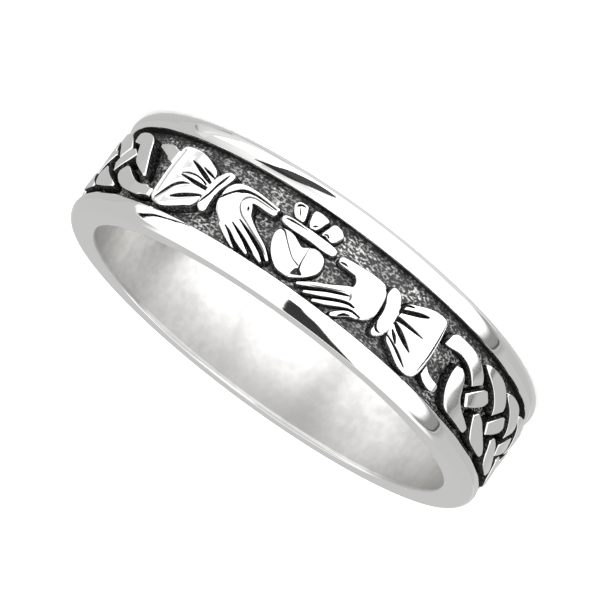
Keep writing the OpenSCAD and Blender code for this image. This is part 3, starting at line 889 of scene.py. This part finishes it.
def strand(rows, cell_number):
    """One strand as a closed tube: at each step along its two smooth edges, a section runs from the
    right edge's foot over the top to the left edge's foot. The top is flat, and its rim falls by
    r (1 - sqrt(1 - x^2 - y^2)), where x and y go from 1 at the side and the end to 0 at r in. The
    walls are marked as recess from just under the rim."""
    line = curve_through(rows)
    start = cuff_end + first_gap + (cell_number + 1) * pitch
    left = np.stack([start + line[:, 0] * pitch, line[:, 1] * half_channel], -1)
    right = np.stack([start + line[:, 2] * pitch, line[:, 3] * half_channel], -1)
    width = np.hypot(*(left - right).T)[:, None]
    middle = (left + right) / 2
    travel = np.concatenate([[0], np.cumsum(np.hypot(*np.diff(middle, axis=0).T))])
    to_end = np.minimum(travel, travel[-1] - travel)[:, None]
    turn = np.radians(np.linspace(0, 90, rim_steps))
    rim = np.minimum(strand_edge_r, narrow_edge * width)
    near = rim * (1 - np.cos(turn))
    flat = rim + (width - 2 * rim) * np.linspace(0, 1, flat_steps + 2)[1:-1]
    across = np.concatenate([near, flat, width - near[:, ::-1]], axis=1)
    side = 1 - np.clip(np.minimum(across, width - across) / rim, 0, 1)
    end = 1 - np.clip(to_end / rim, 0, 1)
    fall = rim * (1 - np.sqrt(np.maximum(1 - side**2 - end**2, 0)))
    height = (1 - strand_lift * (1 - line[:, 4:])) * relief_h - fall
    share = across / width
    p = right[:, :1] + (left - right)[:, :1] * share
    q = right[:, 1:] + (left - right)[:, 1:] * share
    p, q = (np.concatenate([v[:, [0, 0]], v, v[:, [-1, -1]]], axis=1) for v in (p, q))
    foot = np.full((len(p), 1), -root_depth)
    under = height[:, [0, -1]] - buff_depth
    height = np.concatenate([foot, under[:, :1], height, under[:, 1:], foot], axis=1)
    rows, columns = p.shape
    corners = np.arange(p.size).reshape(p.shape)
    faces = quads(rows, columns, round_columns=True).tolist()
    faces += [corners[0].tolist(), corners[-1, ::-1].tolist()]
    recess = np.zeros(height.shape)
    recess[:, [0, 1, -2, -1]] = 1
    return wrap(p, q, height).reshape(-1, 3), faces, recess.ravel()


def plait_piece(name, tables, cell_numbers):
    """One piece of all the strands that these tables give in these cells of the plait."""
    points, faces, marks, count = [], [], [], 0
    for rows in tables:
        for cell_number in cell_numbers:
            new_points, new_faces, new_marks = strand(rows, cell_number)
            points.append(new_points)
            marks.append(new_marks)
            faces += [[corner + count for corner in face] for face in new_faces]
            count += len(new_points)
    return silver_piece(name, np.concatenate(points), faces, [strand_silver], recess=np.concatenate(marks))


strand_silver = relief_silver("buffed_plait", 10.0, 0.4, 0.1)
plait_piece("plait_bars", [BAR], range(repeats))
plait_piece("plait_upper_lobes", [UPPER_LOBE], range(repeats - 1))
plait_piece("plait_lower_lobes", [LOWER_LOBE], range(repeats - 1))
first_ends = plait_piece("plait_first_ends", [FIRST_UPPER, FIRST_LOWER, FIRST_STUB], [-1])
plait_piece("plait_last_ends", [LAST_UPPER, LAST_LOWER, LAST_STUB], [repeats - 1])


# The studio: the ring lies on a pale floor inside a light tent, white in front and light grey
# behind. A black flag in the tent and lit cards on its wall put the dark and the bright streaks
# into the polish. None of it is part of the object.
floor_size = 2.0
half = floor_size / 2
corners = [(-half, -half, 0), (half, -half, 0), (half, half, 0), (-half, half, 0)]
floor_mesh = bpy.data.meshes.new("floor")
floor_mesh.from_pydata(corners, [], [(0, 1, 2, 3)])
paper = bpy.data.materials.new("pale_paper")
paper.use_nodes = True
paper_shader = paper.node_tree.nodes["Principled BSDF"]
set_inputs(paper.node_tree, paper_shader, Base_Color=(0.94, 0.94, 0.94, 1), Roughness=0.9)
set_inputs(paper.node_tree, paper_shader, Specular_IOR_Level=0.1)
floor_mesh.materials.append(paper)
floor = put_in_scene("floor", floor_mesh)
floor.visible_glossy = False

world = bpy.data.worlds.new("light_tent")
bpy.context.scene.world = world
world.use_nodes = True
tent = world.node_tree
place = tent.nodes.new("ShaderNodeTexCoord")
axes = tent.nodes.new("ShaderNodeSeparateXYZ")
tent.links.new(place.outputs["Generated"], axes.inputs["Vector"])
to_right, to_back, upwards = axes.outputs
front_light = 1.25
back_light = 0.58
floor_light = 2.4
low_light = 0.75


def product(first, second):
    """The product of two numbers in the tent's nodes."""
    return math_node(tent, "MULTIPLY", first, second)


def between(value, start, end, soft):
    """1 where a value lies between two others, 0 outside them, over a soft edge."""
    rise = ramp_node(tent, value, start - soft, start + soft)
    return product(rise, ramp_node(tent, value, end - soft, end + soft, 1.0, 0.0))


def mixed(share, first, second):
    """The number that goes from first to second as share goes from 0 to 1."""
    change = math_node(tent, "SUBTRACT", second, first)
    return math_node(tent, "MULTIPLY_ADD", change, share, first)


# The seam between the white front and the grey back runs further back with height.
bend = product(upwards, upwards)
left_seam = math_node(tent, "MULTIPLY_ADD", bend, 0.45, 0.12)
right_bend = ramp_node(tent, upwards, -0.05, 0.05, 0.9, 0.25)
right_seam = math_node(tent, "MULTIPLY_ADD", bend, right_bend, -0.02)
seam = mixed(ramp_node(tent, to_right, -0.04, 0.04), left_seam, right_seam)
past_seam = math_node(tent, "SUBTRACT", to_back, seam)

# The back wall is darker beside the seam on the left, and the roof over it is white.
back_wall = ramp_node(tent, past_seam, 0.0, 0.12, 0.7 * back_light, back_light)
back_wall = mixed(ramp_node(tent, to_right, -0.1, 0.1), back_wall, back_light)
back_wall = mixed(ramp_node(tent, upwards, 0.66, 0.78), back_wall, front_light)
light = mixed(ramp_node(tent, past_seam, -0.02, 0.02), front_light, back_wall)

# The flag hangs in front of the seam on the left: it fades in, and ends in a blacker line.
before_seam = ramp_node(tent, past_seam, -0.008, 0.004, 1.0, 0.0)
flag = product(ramp_node(tent, past_seam, -0.26, -0.13, 0.0, 0.76), before_seam)
flag_line = product(between(past_seam, -0.034, -0.002, 0.006), 0.95)
flag = math_node(tent, "MAXIMUM", flag, flag_line)
flag = product(flag, between(upwards, -0.85, 0.78, 0.05))
flag = product(flag, ramp_node(tent, to_right, -0.1, -0.2))
light = product(light, math_node(tent, "SUBTRACT", 1.0, flag))

# Under the horizon the tent stands in for the lit floor, which the polish sees in its place.
low_front = product(ramp_node(tent, upwards, -0.03, -0.1), ramp_node(tent, to_back, -0.05, -0.2))
light = mixed(low_front, light, floor_light)
low_back = product(ramp_node(tent, upwards, -0.02, -0.08), between(to_right, -0.45, 0.45, 0.04))
low_back = product(low_back, ramp_node(tent, to_back, 0.0, 0.1))
light = mixed(low_back, light, low_light)
set_inputs(tent, tent.nodes["Background"], Color=(1, 1, 1, 1), Strength=light)

card_light = bpy.data.materials.new("white_card")
card_light.use_nodes = True
card_nodes = card_light.node_tree
clear = add_node(card_nodes, "BsdfTransparent")
glow = add_node(card_nodes, "Emission", (1, 1, 1, 1), marked(card_nodes, "glow"))
covered = add_node(card_nodes, "MixShader", marked(card_nodes, "cover"), clear, glow)
extra = add_node(card_nodes, "Emission", (1, 1, 1, 1), marked(card_nodes, "extra"))
total = add_node(card_nodes, "AddShader", covered, extra)
set_inputs(card_nodes, card_nodes.nodes["Material Output"], Surface=total)


def card(name, piece, edges, covers=(0.97, 0.97), light=front_light, distance=0.8, extras=(0, 0)):
    """A lit card on the tent's wall, between two smooth edges that are given as pairs of directions
    (x, y, z) from the ring, with how much of the tent it covers at each edge. One piece is shaded
    from it, and so shows a dark streak there, while the others see no card. A clear card with extra
    light at its edges shows a bright streak in the one piece instead."""
    edges = curve_through(edges)
    corners = np.stack([edges[:, :3], edges[:, 3:]], 1)
    corners *= distance / np.linalg.norm(corners, axis=-1, keepdims=True)
    mesh = bpy.data.meshes.new(name)
    mesh.from_pydata(corners.reshape(-1, 3), [], quads(len(corners), 2).tolist())
    for mark, values in (("cover", covers), ("glow", (light, light)), ("extra", extras)):
        mark_points(mesh, mark, np.tile(values, len(corners)))
    mesh.materials.append(card_light)
    sheet = put_in_scene(name, mesh)
    sheet.visible_camera = False
    sheet.visible_diffuse = False
    sheet.visible_shadow = False
    shaded = bpy.data.collections.new(name + "_shades")
    shaded.objects.link(piece)
    if not any(extras):
        shaded.collection_objects[0].light_linking.link_state = "EXCLUDE"
    sheet.light_linking.receiver_collection = shaded


card("near_wedge_card", rails["point_rail"], [
    (-0.02, -1, 0.03, -0.12, -0.99, 0.05), (-0.01, -0.93, 0.33, -0.18, -0.93, 0.31),
    (0, -0.85, 0.5, -0.26, -0.85, 0.46), (0.01, -0.74, 0.67, -0.3, -0.66, 0.69),
    (0.04, -0.35, 0.93, -0.29, -0.37, 0.88), (0.06, -0.14, 0.99, -0.26, -0.05, 0.97),
    (0.08, 0.06, 1, -0.2, 0.23, 0.95), (0.09, 0.25, 0.96, -0.15, 0.42, 0.9),
])
card("near_streak_card", rails["point_rail"], [
    (0.98, -0.04, 0.13, 0.94, -0.01, 0.33), (0.99, -0.12, -0.06, 0.92, -0.04, 0.39),
    (0.95, -0.13, -0.28, 0.98, -0.17, 0.11), (0.91, -0.12, -0.39, 0.97, -0.21, -0.08),
    (0.83, -0.12, -0.54, 0.9, -0.24, -0.37), (0.78, -0.09, -0.62, 0.85, -0.23, -0.47),
    (0.71, -0.03, -0.7, 0.8, -0.22, -0.56), (0.62, 0.07, -0.78, 0.71, -0.11, -0.69),
    (0.52, 0.22, -0.82, 0.61, 0.01, -0.79),
], (1.0, 1.0), light=0.8)
card("far_streak_card", rails["crown_rail"], [
    (0.76, -0.57, 0.33, 0.76, -0.59, 0.25), (0.7, -0.63, 0.34, 0.71, -0.7, 0.05),
    (0.62, -0.71, 0.35, 0.62, -0.74, -0.25), (0.54, -0.79, 0.3, 0.5, -0.62, -0.61),
    (0.45, -0.89, 0.1, 0.39, -0.49, -0.78), (0.34, -0.91, -0.22, 0.29, -0.36, -0.88),
    (0.25, -0.85, -0.46, 0.23, -0.31, -0.92), (0.16, -0.68, -0.71, 0.16, -0.4, -0.9),
])
card("far_shade_card", rails["crown_rail"], [
    (0.26, -0.33, -0.91, 0.4, 0.5, -0.77), (0.53, -0.68, -0.5, 0.84, 0.2, -0.5),
    (0.62, -0.79, 0, 1, -0.02, 0), (0.53, -0.68, 0.5, 0.87, 0.04, 0.5),
    (0.35, -0.45, 0.82, 0.58, 0.14, 0.8),
], (0.05, 0.48), distance=1)
card("far_haze_card", rails["crown_rail"], [
    (0.7, -0.63, 0.34, 0.62, -0.37, 0.69), (0.54, -0.79, 0.3, 0.47, -0.47, 0.74),
    (0.34, -0.91, -0.22, 0.32, -0.75, 0.57), (0.2, -0.77, -0.6, 0.2, -0.85, 0.49),
    (0.14, -0.8, -0.6, 0.11, -0.99, 0.06),
], (0.4, 0.05), distance=1)
card("strand_card", first_ends, [
    (-0.87, -0.13, -0.5, -0.86, 0.02, -0.5), (-0.97, -0.13, -0.22, -0.97, 0.02, -0.22),
    (-0.99, -0.13, 0.1, -0.99, 0.02, 0.1),
], (0, 0), extras=(0.3, 0.95))
card("hole_shade_card", band, [
    (-0.95, 0.25, -0.08, -0.62, 0.2, -0.75), (-0.6, 0.8, -0.08, -0.4, 0.55, -0.75),
    (0, 1, -0.08, 0, 0.66, -0.75), (0.6, 0.8, -0.08, 0.4, 0.55, -0.75),
    (0.95, 0.25, -0.08, 0.62, 0.2, -0.75),
], (0.6, 0.6), light=0.9 * back_light, distance=1)
card("roof_shade_card", band, [
    (-0.6, -0.6, 1, 0.6, -0.6, 1), (-0.6, 0, 1, 0.6, 0, 1), (-0.6, 0.6, 1, 0.6, 0.6, 1),
], (0.45, 0.45), distance=1)

lamp = bpy.data.lights.new("top_light", "SUN")
lamp.energy = 1.3
lamp.angle = np.radians(120)
top_light = put_in_scene("top_light", lamp)
top_light.visible_glossy = False

# The camera looks down at the heart from 12.6 degrees above the floor, and is rolled so that the
# finger hole opens towards the lower left.
bpy.context.scene.view_settings.view_transform = "Standard"
camera_azimuth = np.radians(-99)
camera_elevation = np.radians(12.64)
camera_roll = np.radians(143.43)
camera_distance = 142.9 * MM
camera_lens = 192.2
frame_px = 600
shift_right_px = -1.4
shift_up_px = 13.9
back = np.array([
    np.cos(camera_azimuth) * np.cos(camera_elevation),
    np.sin(camera_azimuth) * np.cos(camera_elevation),
    np.sin(camera_elevation),
])
right = np.array([-np.sin(camera_azimuth), np.cos(camera_azimuth), 0])
up = np.cross(back, right)
camera_x = right * np.cos(camera_roll) - up * np.sin(camera_roll)
camera_y = right * np.sin(camera_roll) + up * np.cos(camera_roll)
centre = np.array([0, 0, band_w / 2 * MM])
pose = np.eye(4)
pose[:3] = np.stack([camera_x, camera_y, back, centre + camera_distance * back], -1)
camera_data = bpy.data.cameras.new("camera")
camera_data.lens = camera_lens
camera_data.sensor_width = 36.0
camera_data.shift_x = shift_right_px / frame_px
camera_data.shift_y = shift_up_px / frame_px
camera_data.clip_start = 0.001
camera = put_in_scene("camera", camera_data)
camera.matrix_world = pose.T.tolist()
bpy.context.scene.camera = camera
